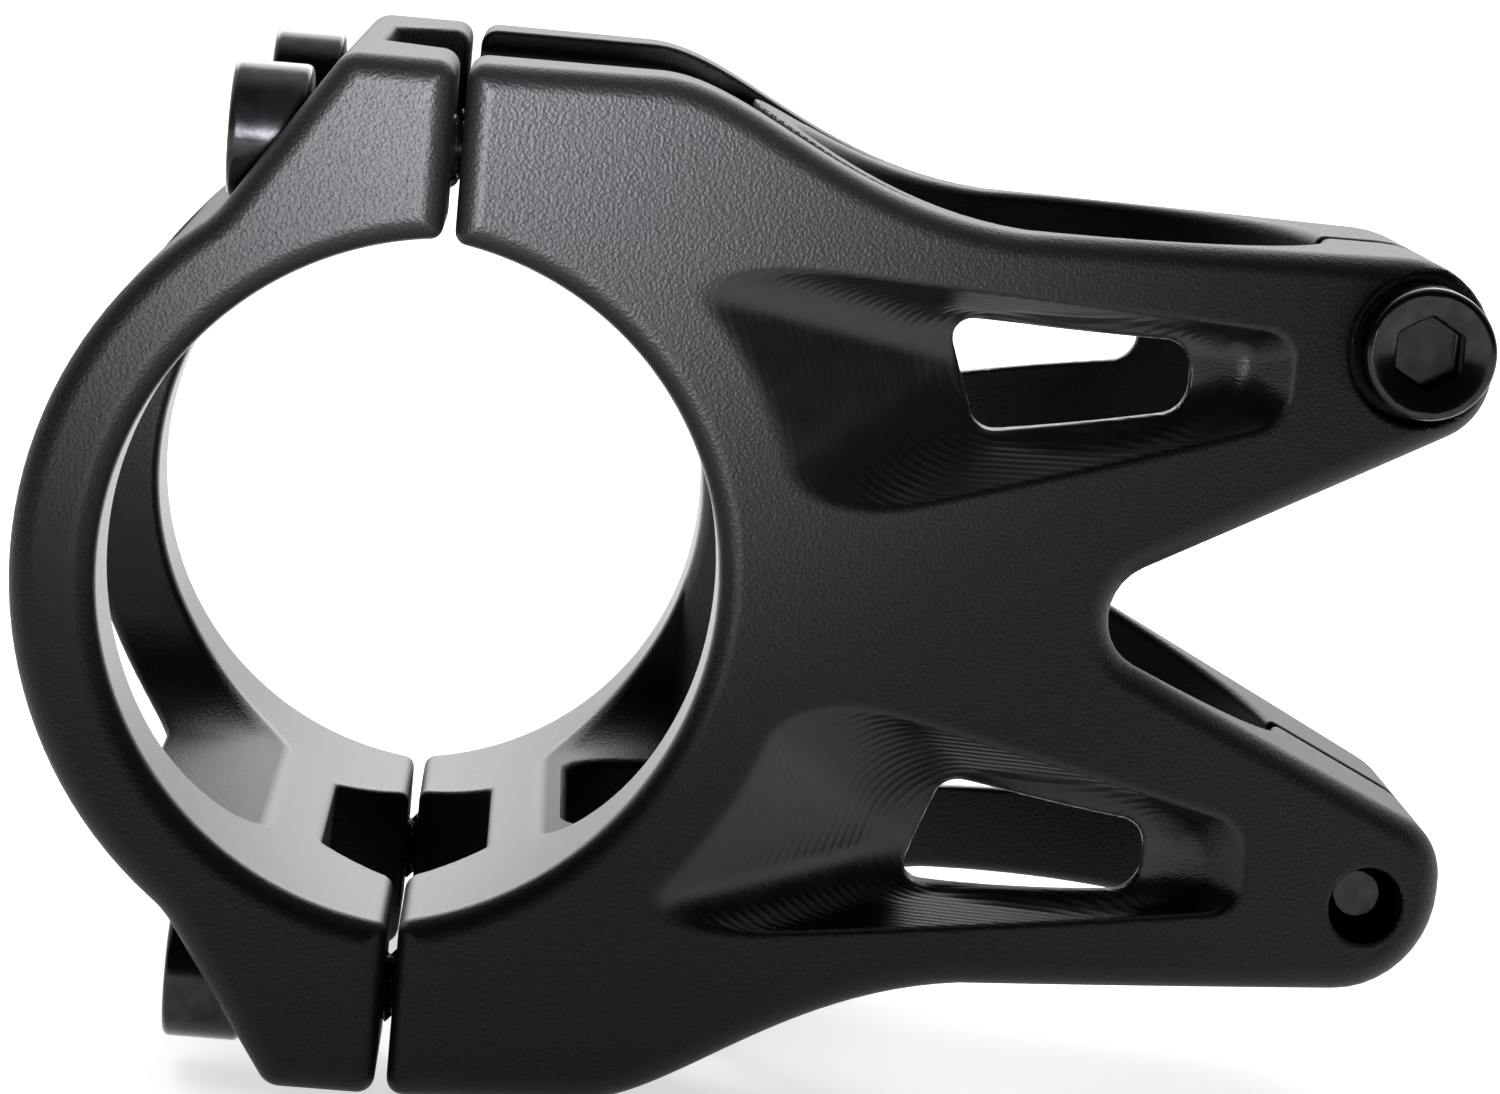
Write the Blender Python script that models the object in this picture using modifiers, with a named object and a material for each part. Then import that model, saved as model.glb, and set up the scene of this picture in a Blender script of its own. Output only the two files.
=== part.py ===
"""Handlebar stem for a 35 mm handlebar: clamp body, faceplate, four faceplate bolts, two pinch bolts.

Metres, +Z up. The steerer axis is Z, the origin is on it at the clamp's lower face, and the
handlebar axis runs along Y in front of it, towards -X. The design is symmetric about its
mid-height and about Y = 0, apart from the two pinch bolts, which enter from opposite sides.
"""

import math

import bmesh
import bpy
from mathutils import Matrix, Vector

MM = 0.001

# Standard sizes that everything else follows.
REACH = 35 * MM
STACK = 39.5 * MM
BAR_R = 17.5 * MM
STEERER_R = 14.3 * MM

# Bar clamp. X values named _FROM_BAR are measured from the handlebar axis, rearwards.
CLAMP_HALF_WIDTH = 25.2 * MM
CLAMP_HALF_HEIGHT = 26.4 * MM
FACEPLATE_CLOSURE = 3.6 * MM
FACEPLATE_OUTER_R = 21.9 * MM
FACEPLATE_FACE_FROM_BAR = 2.1 * MM
BODY_FACE_FROM_BAR = 2.7 * MM
BAND_INNER = 17.2 * MM
WINDOW_HALF_HEIGHT = 15 * MM
WINDOW_CORNER_R = 6 * MM

# Plan taper of the body's side faces: half width = clamp half width - A d - B d^2.
TAPER_START_FROM_BAR = 2.4 * MM
TAPER_A = 0.2
TAPER_B = 1.3

# Steerer clamp and its two arms.
ARM_END = 23.1 * MM
ARM_CORNER_R = 5.4 * MM
ARM_INNER_CORNER_R = 3.8 * MM
NOTCH_POINT = -0.6 * MM
NOTCH_SLOPE = 0.48
NOTCH_R = 2.9 * MM
SLOT_HALF_WIDTH = 0.75 * MM
SLOT_START = 12 * MM
BARREL_R = STEERER_R + 2.8 * MM

# Side pockets. The front wall leaves the side face on a ring round the bar and flares with depth.
POCKET_RING_R = 21.9 * MM
POCKET_FLARE = 2.1
POCKET_BARREL_R = STEERER_R + 0.7 * MM

# Channels along the top and bottom, and the upright well ahead of the barrel.
CHANNEL_DEPTH = 1.6 * MM
CHANNEL_HALF_WIDTH = 15.5 * MM
WELL_FRONT_FROM_BAR = 11 * MM
WELL_BACK_FROM_BAR = 24 * MM
WELL_HALF_WIDTH = 10.5 * MM
WELL_CORNER_R = 3 * MM

# Fasteners, M4 socket head cap screws.
SHANK_R = 1.75 * MM
SHANK_HOLE_R = 2.05 * MM
HEAD_R = 3.5 * MM
HEAD_H = 4 * MM
HEX_FLATS = 3 * MM
HEX_DEPTH = 2.2 * MM
HEAD_CHAMFER = 0.5 * MM
SPOT_R = 4.1 * MM
GAP = 0.3 * MM
FACEPLATE_BOLT_Y = 19 * MM
FACEPLATE_BOLT_Z = 21.8 * MM
FACEPLATE_BOLT_LENGTH = 16 * MM
FACEPLATE_SEAT_FROM_BAR = -4.8 * MM
PINCH_BOLT_X = 18.9 * MM
PINCH_BOLT_Z = 15 * MM
PINCH_BOLT_LENGTH = 18 * MM
PINCH_SEAT_Y = 9.8 * MM

EDGE_R = 1.0 * MM
BEYOND = 5 * MM
MERGE = 1e-6

BAR_X = -REACH
MID_Z = STACK / 2
PARTS = "handlebar_stem"


# ---------------------------------------------------------------- scene helpers

def clear_scene():
    for obj in list(bpy.data.objects):
        bpy.data.objects.remove(obj, do_unlink=True)


def new_collection(name):
    collection = bpy.data.collections.new(name)
    bpy.context.scene.collection.children.link(collection)
    return collection


def move_to(obj, collection):
    for old in list(obj.users_collection):
        old.objects.unlink(obj)
    collection.objects.link(obj)


def new_material(name, color, roughness, metallic):
    material = bpy.data.materials.new(name)
    material.use_nodes = True
    shader = material.node_tree.nodes["Principled BSDF"]
    shader.inputs["Base Color"].default_value = (*color, 1.0)
    shader.inputs["Roughness"].default_value = roughness
    shader.inputs["Metallic"].default_value = metallic
    return material


def as_cutter(obj):
    move_to(obj, bpy.data.collections["cutters"])
    obj.hide_render = True
    obj.display_type = "WIRE"
    return obj


def as_part(obj, name, material):
    obj.name = name
    obj.data.name = name
    obj.data.materials.clear()
    obj.data.materials.append(material)
    move_to(obj, bpy.data.collections[PARTS])
    obj.data.shade_smooth()
    obj.data.set_sharp_from_angle(angle=math.radians(30))
    return obj


def add_boolean(obj, cutter, operation):
    modifier = obj.modifiers.new(operation.lower() + "_" + cutter.name, "BOOLEAN")
    modifier.operation = operation
    modifier.solver = "EXACT"
    modifier.object = cutter


def bake(obj):
    """Replace an object's mesh with its evaluated one, in world space, its caps welded."""
    bpy.context.view_layer.update()
    evaluated = obj.evaluated_get(bpy.context.evaluated_depsgraph_get())
    mesh = bpy.data.meshes.new_from_object(evaluated)
    mesh.transform(obj.matrix_world)
    editable = bmesh.new()
    editable.from_mesh(mesh)
    bmesh.ops.remove_doubles(editable, verts=editable.verts, dist=MERGE)
    bmesh.ops.recalc_face_normals(editable, faces=editable.faces)
    editable.to_mesh(mesh)
    editable.free()
    name = obj.name
    bpy.data.objects.remove(obj, do_unlink=True)
    baked = bpy.data.objects.new(name, mesh)
    bpy.context.scene.collection.objects.link(baked)
    return baked


def extruded(name, outline, half_depth, axis):
    """Closed outline extruded both ways along an axis: Y takes (x, z), Z takes (x, y), X takes (y, z)."""
    curve = bpy.data.curves.new(name, "CURVE")
    curve.dimensions = "2D"
    curve.fill_mode = "BOTH"
    curve.extrude = half_depth
    spline = curve.splines.new("POLY")
    spline.points.add(len(outline) - 1)
    for point, (u, v) in zip(spline.points, outline):
        point.co = (u, v, 0.0, 1.0)
    spline.use_cyclic_u = True
    obj = bpy.data.objects.new(name, curve)
    bpy.context.scene.collection.objects.link(obj)
    turns = {
        "Y": Matrix.Rotation(math.pi / 2, 4, "X"),
        "Z": Matrix.Identity(4),
        "X": Matrix.Rotation(math.pi / 2, 4, "Z") @ Matrix.Rotation(math.pi / 2, 4, "X"),
    }
    obj.matrix_world = turns[axis]
    return bake(obj)


def cylinder(name, radius, start, end, sides=48):
    """Round bar between two points."""
    start, end = Vector(start), Vector(end)
    along = end - start
    bpy.ops.mesh.primitive_cylinder_add(
        vertices=sides, radius=radius, depth=along.length, location=(start + end) / 2,
        rotation=along.to_track_quat("Z", "Y").to_euler())
    obj = bpy.context.object
    obj.name = name
    return bake(obj)


def hull(name, points):
    """Convex solid around a few points, for the drafted pocket cutters."""
    mesh = bpy.data.meshes.new(name)
    editable = bmesh.new()
    for point in points:
        editable.verts.new(point)
    bmesh.ops.convex_hull(editable, input=editable.verts)
    loose = [vert for vert in editable.verts if not vert.link_faces]
    bmesh.ops.delete(editable, geom=loose, context="VERTS")
    bmesh.ops.recalc_face_normals(editable, faces=editable.faces)
    editable.to_mesh(mesh)
    editable.free()
    obj = bpy.data.objects.new(name, mesh)
    bpy.context.scene.collection.objects.link(obj)
    return obj


# ---------------------------------------------------------------- outlines

def corner_arc(before, corner, after, radius, steps=6):
    """Points that round one corner of a polygon to a radius."""
    if radius == 0:
        return [corner]
    to_before = (before[0] - corner[0], before[1] - corner[1])
    to_after = (after[0] - corner[0], after[1] - corner[1])
    angle_before = math.atan2(to_before[1], to_before[0])
    angle_after = math.atan2(to_after[1], to_after[0])
    opening = (angle_after - angle_before + math.pi) % (2 * math.pi) - math.pi
    middle = angle_before + opening / 2
    to_center = radius / math.sin(abs(opening) / 2)
    center = (corner[0] + to_center * math.cos(middle), corner[1] + to_center * math.sin(middle))
    sweep = math.pi - abs(opening)
    start = middle + math.pi + math.copysign(sweep / 2, opening)
    turn = -math.copysign(sweep, opening)
    return [
        (center[0] + radius * math.cos(start + turn * i / steps),
         center[1] + radius * math.sin(start + turn * i / steps))
        for i in range(steps + 1)]


def rounded(corners):
    """Closed outline from (u, v, radius) corners."""
    points = []
    count = len(corners)
    for i, (u, v, radius) in enumerate(corners):
        before = corners[i - 1]
        after = corners[(i + 1) % count]
        points.extend(corner_arc(before[:2], (u, v), after[:2], radius))
    return points


def bezier(ends, steps):
    """Inner points of a cubic curve through its first and last control points."""
    points = []
    for i in range(1, steps):
        t = i / steps
        weights = ((1 - t) ** 3, 3 * t * (1 - t) ** 2, 3 * t * t * (1 - t), t ** 3)
        points.append(tuple(sum(w * p[k] for w, p in zip(weights, ends)) for k in (0, 1)))
    return points


def in_side_view(points):
    """From (distance behind the bar axis, height over mid-height) to world x and z."""
    return [(BAR_X + x, MID_Z + z) for x, z in points]


def in_plan(points):
    """From (distance behind the bar axis, y) to world x and y."""
    return [(BAR_X + x, y) for x, y in points]


def body_half_width(from_bar):
    distance = from_bar - TAPER_START_FROM_BAR
    return CLAMP_HALF_WIDTH - TAPER_A * distance - TAPER_B * distance * distance


def shoulder(drop=0.0):
    """Top edge from the clamp flange down to the steerer clamp."""
    return [
        (12.6 * MM, CLAMP_HALF_HEIGHT - drop),
        (17.4 * MM, 26.25 * MM - drop),
        (22.5 * MM, 20.3 * MM - drop),
        (32 * MM, STACK / 2 - drop),
    ]


def body_side_outline():
    rear = REACH + ARM_END
    notch_point = REACH + NOTCH_POINT
    notch_end = NOTCH_SLOPE * (rear - notch_point)
    curve = shoulder()
    upper = [(BODY_FACE_FROM_BAR, CLAMP_HALF_HEIGHT, 0), (*curve[0], 0)]
    upper += [(x, z, 0) for x, z in bezier(curve, 10)]
    upper += [(*curve[-1], 0), (rear, STACK / 2, ARM_CORNER_R), (rear, notch_end, ARM_INNER_CORNER_R)]
    lower = [(x, -z, radius) for x, z, radius in reversed(upper)]
    return in_side_view(rounded(upper + [(notch_point, 0, NOTCH_R)] + lower))


def body_plan_outline():
    rear = REACH + ARM_END + 1 * MM
    stations = [2 * MM + (rear - 2 * MM) * i / 10 for i in range(11)]
    right = [(x, body_half_width(x)) for x in stations]
    return in_plan(right + [(x, -y) for x, y in reversed(right)])


def faceplate_outline():
    start = math.radians(126)
    steps = 18
    ring = []
    for i in range(steps + 1):
        angle = start + (math.pi - start) * 2 * i / steps
        ring.append((FACEPLATE_CLOSURE + FACEPLATE_OUTER_R * math.cos(angle),
                     FACEPLATE_OUTER_R * math.sin(angle), 0))
    ring[0] = (*ring[0][:2], 5 * MM)
    ring[-1] = (*ring[-1][:2], 5 * MM)
    top = [(FACEPLATE_FACE_FROM_BAR, CLAMP_HALF_HEIGHT, 0), (-3.4 * MM, CLAMP_HALF_HEIGHT, 1.2 * MM)]
    bottom = [(x, -z, radius) for x, z, radius in reversed(top)]
    return in_side_view(rounded(top + ring + bottom))


def clamp_window_outline(scale=1.0):
    """The opening between the two clamp bands, in y and height over mid-height."""
    half_width, half_height = BAND_INNER * scale, WINDOW_HALF_HEIGHT * scale
    corners = [
        (half_width, half_height),
        (half_width, -half_height),
        (-half_width, -half_height),
        (-half_width, half_height),
    ]
    return rounded([(y, z, WINDOW_CORNER_R * scale) for y, z in corners])


def flange_relief_outline():
    """The hexagonal opening across the split, between a flange's two bolt pads."""
    middle = (BODY_FACE_FROM_BAR + FACEPLATE_FACE_FROM_BAR) / 2
    end = 4.4 * MM
    return in_plan(rounded([
        (middle + end, 8.8 * MM, 1 * MM),
        (middle, 13 * MM, 1 * MM),
        (middle - end, 8.8 * MM, 1 * MM),
        (middle - end, -8.8 * MM, 1 * MM),
        (middle, -13 * MM, 1 * MM),
        (middle + end, -8.8 * MM, 1 * MM),
    ]))


def side_window_outline(side):
    """Slot through the steerer clamp's side wall, above (side 1) or below (side -1) mid-height."""
    corners = [
        (30.4 * MM, 9.1 * MM, 1.3 * MM),
        (41.4 * MM, 11 * MM, 1.6 * MM),
        (41.4 * MM, 14.6 * MM, 1.6 * MM),
        (28.3 * MM, 15 * MM, 1 * MM),
    ]
    return in_side_view([(x, z * side) for x, z in rounded(corners)])


# ---------------------------------------------------------------- cutters

def from_bar(x, y, z):
    """World point from a distance behind the bar axis, y, and a height over mid-height."""
    return (BAR_X + x, y, MID_Z + z)


def bar_bore(closure):
    """The handlebar's bore; the closed faceplate's own centre has moved back by the closure."""
    return as_cutter(cylinder(
        "bar_bore", BAR_R, from_bar(closure, -30 * MM, 0), from_bar(closure, 30 * MM, 0), 96))


def flange_relief():
    return as_cutter(extruded("flange_relief", flange_relief_outline(), 50 * MM, "Z"))


def steerer_bore():
    return as_cutter(cylinder("steerer_bore", STEERER_R, (0, 0, -BEYOND), (0, 0, STACK + BEYOND), 80))


def clamp_slot():
    """Saw cut through the back of the steerer clamp."""
    length = ARM_END + BEYOND - SLOT_START
    bpy.ops.mesh.primitive_cube_add(size=1, location=(SLOT_START + length / 2, 0, MID_Z))
    slot = bpy.context.object
    slot.name = "clamp_slot"
    slot.scale = (length, 2 * SLOT_HALF_WIDTH, STACK + 2 * BEYOND)
    return as_cutter(bake(slot))


def hollow():
    """Open space between the bar and the steerer, entered from the bar bore."""
    sections = ((0, 1.0), (17 * MM, 0.93), (22.5 * MM, 0.5))
    points = []
    for x, scale in sections:
        for y, z in clamp_window_outline(scale):
            points.append(from_bar(x, y, z))
    return as_cutter(hull("hollow", points))


def barrel(radius):
    return cylinder("barrel", radius, (0, 0, -12 * BEYOND), (0, 0, STACK + 12 * BEYOND), 64)


def without(obj, remover):
    """Bake one solid with another taken out of it."""
    add_boolean(obj, remover, "DIFFERENCE")
    result = bake(obj)
    bpy.data.objects.remove(remover, do_unlink=True)
    return result


def channel(side):
    """Shallow channel along the top (side 1) or bottom (side -1), ending round the steerer barrel."""
    curve = shoulder(CHANNEL_DEPTH)
    floor = [(0, CLAMP_HALF_HEIGHT - CHANNEL_DEPTH), curve[0], *bezier(curve, 8), curve[-1]]
    top = CLAMP_HALF_HEIGHT + 2 * BEYOND
    lid = [(curve[-1][0], top), (0, top)]
    outline = in_side_view([(x, z * side) for x, z in floor + lid])
    block = extruded("channel", outline, CHANNEL_HALF_WIDTH, "Y")
    return as_cutter(without(block, barrel(BARREL_R + 0.5 * MM)))


def well():
    """Upright well between the clamp and the steerer barrel, down into the hollow."""
    outline = in_plan(rounded([
        (WELL_FRONT_FROM_BAR, WELL_HALF_WIDTH, WELL_CORNER_R),
        (WELL_FRONT_FROM_BAR, -WELL_HALF_WIDTH, WELL_CORNER_R),
        (WELL_BACK_FROM_BAR, -WELL_HALF_WIDTH, 0),
        (WELL_BACK_FROM_BAR, WELL_HALF_WIDTH, 0),
    ]))
    return as_cutter(without(extruded("well", outline, 50 * MM, "Z"), barrel(BARREL_R)))


def pocket_front(facing):
    """What a side pocket leaves round the bar, so that the clamp band keeps its thickness."""
    sides = 72
    points = []
    for depth in (-2 * MM, 11 * MM):
        radius = POCKET_RING_R + POCKET_FLARE * depth
        for i in range(sides):
            angle = 2 * math.pi * i / sides
            x, z = radius * math.cos(angle), radius * math.sin(angle)
            points.append(from_bar(x, (body_half_width(x) - depth) * facing, z))
    return hull("pocket_front", points)


def side_pocket(facing, side):
    """Drafted pocket in one side face (facing 1 or -1 in y), above or below mid-height."""
    floor = [
        (20 * MM, 16.2 * MM, 7.9 * MM),
        (20 * MM, 16.2 * MM, 15.3 * MM),
        (43.8 * MM, 11.9 * MM, 12.2 * MM),
        (43.8 * MM, 11.9 * MM, 14.6 * MM),
    ]
    mouth = [
        (14 * MM, 24 * MM, 1.2 * MM),
        (14 * MM, 24 * MM, 18 * MM),
        (49.6 * MM, 15.5 * MM, 10.6 * MM),
        (49.6 * MM, 15.5 * MM, 15.9 * MM),
    ]
    block = hull("side_pocket", [from_bar(x, y * facing, z * side) for x, y, z in floor + mouth])
    return as_cutter(without(without(block, pocket_front(facing)), barrel(POCKET_BARREL_R)))


def side_window(side):
    return as_cutter(extruded("side_window", side_window_outline(side), 30 * MM, "Y"))


def faceplate_bolt_places():
    for height, z in (("top", FACEPLATE_BOLT_Z), ("bottom", -FACEPLATE_BOLT_Z)):
        for hand, y in (("left", FACEPLATE_BOLT_Y), ("right", -FACEPLATE_BOLT_Y)):
            yield height + "_" + hand, y, z


def faceplate_bolt_holes():
    cutters = []
    for _, y, z in faceplate_bolt_places():
        cutters.append(as_cutter(cylinder(
            "faceplate_bolt_hole", SHANK_HOLE_R, from_bar(-12 * MM, y, z), from_bar(13 * MM, y, z), 24)))
    return cutters


def faceplate_spot_faces():
    cutters = []
    for _, y, z in faceplate_bolt_places():
        cutters.append(as_cutter(cylinder(
            "spot_face", SPOT_R, from_bar(-18 * MM, y, z), from_bar(FACEPLATE_SEAT_FROM_BAR, y, z), 40)))
    return cutters


def pinch_bolt_places():
    """Name, height over mid-height, and the side (in y) of the bolt's head."""
    return (("upper", PINCH_BOLT_Z, -1), ("lower", -PINCH_BOLT_Z, 1))


def pinch_cutters():
    cutters = []
    for _, z, facing in pinch_bolt_places():
        height = MID_Z + z
        cutters.append(as_cutter(cylinder(
            "pinch_bolt_hole", SHANK_HOLE_R, (PINCH_BOLT_X, -20 * MM, height),
            (PINCH_BOLT_X, 20 * MM, height), 24)))
        cutters.append(as_cutter(cylinder(
            "spot_face", SPOT_R, (PINCH_BOLT_X, PINCH_SEAT_Y * facing, height),
            (PINCH_BOLT_X, 20 * MM * facing, height), 40)))
    return cutters


# ---------------------------------------------------------------- parts

def round_edges(obj, width, segments=2):
    modifier = obj.modifiers.new("round_edges", "BEVEL")
    modifier.width = width
    modifier.segments = segments
    modifier.limit_method = "ANGLE"
    modifier.angle_limit = math.radians(40)
    modifier.use_clamp_overlap = False
    modifier.loop_slide = False


def build_body(material):
    body = extruded("body_block", body_side_outline(), 30 * MM, "Y")
    plan = as_cutter(extruded("plan_taper", body_plan_outline(), 50 * MM, "Z"))
    add_boolean(body, plan, "INTERSECT")
    round_edges(body, EDGE_R)
    cutters = [bar_bore(0), steerer_bore(), clamp_slot(), hollow(), flange_relief(), well()]
    cutters += [channel(side) for side in (1, -1)]
    cutters += [side_pocket(facing, side) for facing in (1, -1) for side in (1, -1)]
    cutters += [side_window(side) for side in (1, -1)]
    cutters += faceplate_bolt_holes() + pinch_cutters()
    for cutter in cutters:
        add_boolean(body, cutter, "DIFFERENCE")
    return as_part(body, "stem_body", material)


def build_faceplate(material):
    plate = extruded("plate_block", faceplate_outline(), CLAMP_HALF_WIDTH, "Y")
    round_edges(plate, EDGE_R)
    window = extruded("faceplate_window", [
        (y, z + MID_Z) for y, z in clamp_window_outline()], 15 * MM, "X")
    window.data.transform(Matrix.Translation((BAR_X - 15 * MM, 0, 0)))
    cutters = [bar_bore(FACEPLATE_CLOSURE), as_cutter(window), flange_relief()]
    cutters += faceplate_spot_faces() + faceplate_bolt_holes()
    for cutter in cutters:
        add_boolean(plate, cutter, "DIFFERENCE")
    return as_part(plate, "faceplate", material)


def bolt_profile(length):
    """Half section of a socket head cap screw, head up, underside of the head at z = 0."""
    tip = 0.6 * MM
    return [
        (0.0, HEAD_H),
        (HEAD_R - HEAD_CHAMFER, HEAD_H),
        (HEAD_R, HEAD_H - HEAD_CHAMFER),
        (HEAD_R, 0.0),
        (SHANK_R, 0.0),
        (SHANK_R, tip - length),
        (SHANK_R - tip, -length),
        (0.0, -length),
    ]


def bolt_mesh(length):
    """One cap screw along +Z, turned from its profile, with a hexagonal socket."""
    profile = bpy.data.meshes.new("bolt_profile")
    points = [(r, 0.0, z) for r, z in bolt_profile(length)]
    profile.from_pydata(points, [(i, i + 1) for i in range(len(points) - 1)], [])
    bolt = bpy.data.objects.new("bolt", profile)
    bpy.context.scene.collection.objects.link(bolt)
    screw = bolt.modifiers.new("turn", "SCREW")
    screw.steps = screw.render_steps = 32
    screw.use_merge_vertices = True
    screw.merge_threshold = MERGE
    bpy.ops.mesh.primitive_cylinder_add(
        vertices=6, radius=HEX_FLATS / math.sqrt(3), depth=2 * HEX_DEPTH, location=(0, 0, HEAD_H))
    return without(bake(bolt), bake(bpy.context.object)).data


def place_bolt(mesh, name, origin, axis, material):
    """Put a cap screw with its head's underside at the origin, its head pointing along the axis."""
    bolt = bpy.data.objects.new(name, mesh.copy())
    bpy.context.scene.collection.objects.link(bolt)
    bolt.location = origin
    bolt.rotation_euler = Vector(axis).to_track_quat("Z", "Y").to_euler()
    return as_part(bolt, name, material)


def build_bolts(material):
    mesh = bolt_mesh(FACEPLATE_BOLT_LENGTH)
    underside = FACEPLATE_SEAT_FROM_BAR - GAP
    for place, y, z in faceplate_bolt_places():
        place_bolt(mesh, "faceplate_bolt_" + place, from_bar(underside, y, z), (-1, 0, 0), material)
    mesh = bolt_mesh(PINCH_BOLT_LENGTH)
    for place, z, facing in pinch_bolt_places():
        origin = (PINCH_BOLT_X, (PINCH_SEAT_Y + GAP) * facing, MID_Z + z)
        place_bolt(mesh, "pinch_bolt_" + place, origin, (0, facing, 0), material)


def remove_templates():
    """Drop what was only used to make the bolts."""
    for obj in list(bpy.context.scene.collection.objects):
        bpy.data.objects.remove(obj, do_unlink=True)


def main():
    clear_scene()
    new_collection(PARTS)
    new_collection("cutters")
    anodised = new_material("black_anodised_aluminium", (0.030, 0.029, 0.031), 0.42, 0.6)
    oxide = new_material("black_oxide_steel", (0.020, 0.020, 0.022), 0.25, 0.9)
    build_body(anodised)
    build_faceplate(anodised)
    build_bolts(oxide)
    remove_templates()


main()
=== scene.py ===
"""Looks of a handlebar stem: bead-blasted black anodised body and faceplate, black oxide cap screws.

Each machined piece is the zero surface of one distance field: simple solids joined and cut with
exact fillets, meshed on a lattice. The fields use millimetres from the middle of the handlebar
bore: x rearwards, y along the handlebar, z up.
"""

import itertools
import math

import bpy
import numpy as np
from mathutils import Matrix, Vector


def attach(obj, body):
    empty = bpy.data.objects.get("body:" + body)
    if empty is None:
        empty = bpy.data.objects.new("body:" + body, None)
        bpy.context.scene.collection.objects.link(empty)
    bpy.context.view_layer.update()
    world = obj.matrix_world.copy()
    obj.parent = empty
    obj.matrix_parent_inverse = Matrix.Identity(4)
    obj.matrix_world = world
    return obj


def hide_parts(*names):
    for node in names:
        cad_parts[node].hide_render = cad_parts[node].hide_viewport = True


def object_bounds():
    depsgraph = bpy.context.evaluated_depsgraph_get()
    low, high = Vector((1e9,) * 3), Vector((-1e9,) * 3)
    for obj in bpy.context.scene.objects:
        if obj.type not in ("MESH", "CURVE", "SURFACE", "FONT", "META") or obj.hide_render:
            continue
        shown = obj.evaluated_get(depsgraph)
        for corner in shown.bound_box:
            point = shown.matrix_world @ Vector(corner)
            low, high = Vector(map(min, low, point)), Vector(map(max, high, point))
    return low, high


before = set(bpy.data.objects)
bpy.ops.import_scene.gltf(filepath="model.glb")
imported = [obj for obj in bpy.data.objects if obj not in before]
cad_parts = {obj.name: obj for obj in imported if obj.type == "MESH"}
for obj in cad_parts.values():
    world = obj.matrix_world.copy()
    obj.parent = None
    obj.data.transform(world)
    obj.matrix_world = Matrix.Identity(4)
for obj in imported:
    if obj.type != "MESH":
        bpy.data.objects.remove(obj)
cad_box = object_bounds()

MM = 0.001

# Driving sizes of the CAD model, in millimetres.
REACH = 35.0
STACK = 39.5
BAR_R = 17.5
STEERER_R = 14.3
CLAMP_HALF_WIDTH = 25.2
CLAMP_HALF_HEIGHT = 26.4
CLOSURE = 3.6
FACEPLATE_OUTER_R = 21.9
FACEPLATE_FACE = 2.1
BODY_FACE = 2.7
WINDOW_HALF_WIDTH = 17.2
WINDOW_HALF_HEIGHT = 15.0
WINDOW_CORNER_R = 6.0
SPLIT_CORNER_R = 0.9
PLATE_TOP_FRONT = -3.4
PLATE_TOP_CORNER_R = 1.3
RING_START = math.radians(126)
RING_CORNER_R = 5.0
ARM_END = 23.1
ARM_CORNER_R = 5.4
ARM_INNER_CORNER_R = 3.8
NOTCH_POINT = REACH - 0.6
NOTCH_SLOPE = 0.48
NOTCH_R = 2.9
SLOT_HALF_WIDTH = 0.75
SLOT_START = REACH + 12
BARREL_R = STEERER_R + 2.8
CHANNEL_DEPTH = 1.6
CHANNEL_HALF_WIDTH = 15.5
CHANNEL_BACK = 32.0
ABOVE_ALL = 45.0
HOLLOW_END = 22.5
WELL_MIDDLE = 21
WELL_HALF_LENGTH = 10
WELL_HALF_WIDTH = 10.5
WELL_CORNER_R = 3.0
RELIEF_HALF_LENGTH = 4.4
RELIEF_POINT_Y = 13.0
RELIEF_SIDE_Y = 8.8
PLATE_BOLT_Y = 19.0
PLATE_BOLT_Z = 21.8
PLATE_BOLT_LENGTH = 16.0
PLATE_SEAT = -4.8
PINCH_X = REACH + 18.9
PINCH_Z = 15.0
PINCH_BOLT_LENGTH = 18.0
PINCH_SEAT_Y = 9.8
SPOT_R = 4.1
HOLE_R = 2.05
SCREW_GAP = 0.3
POCKET_RING_R = 21.9
POCKET_FLARE = 2.1
POCKET_BARREL_R = STEERER_R + 0.7

# The body's half width falls by A d + B d^2 at a distance d behind where its taper starts.
TAPER_START = 2.4
TAPER_A = 0.2
TAPER_B = 0.0013

# Fillets, in millimetres.
BLASTED_EDGE = 1.35
BORE_END = 0.6
INNER_EDGE = 0.6
CRISP = 0.25
POCKET_CORNER = 2.0
POCKET_FRONT_CORNER = 2.6

# Meshing: lattice steps in millimetres, and triangles a piece.
PIECE_STEP = 0.2
SCREW_STEP = 0.09
BODY_TRIANGLES = 190_000
FACEPLATE_TRIANGLES = 110_000
SCREW_TRIANGLES = 22_000

# An edge is drawn hard where a triangle leans further than this from the smooth surface.
SHARPEST = math.cos(math.radians(33))

BAR_CENTRE = Vector((-REACH, 0.0, STACK / 2)) * MM


# ---------------------------------------------------------------- distance fields

def both(a, b, fillet=0.0):
    """Where two solids overlap, with the edge between them rounded."""
    if not fillet:
        return np.maximum(a, b)
    corner = np.hypot(np.maximum(a + fillet, 0), np.maximum(b + fillet, 0))
    return np.minimum(np.maximum(a, b), -fillet) + corner


def either(a, b, fillet=0.0):
    """Two solids joined, with the corner between them filled."""
    return -both(-a, -b, fillet)


def cut(solid, tool, fillet=0.0):
    """A solid less a tool, with the new edge rounded."""
    return both(solid, -tool, fillet)


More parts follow.
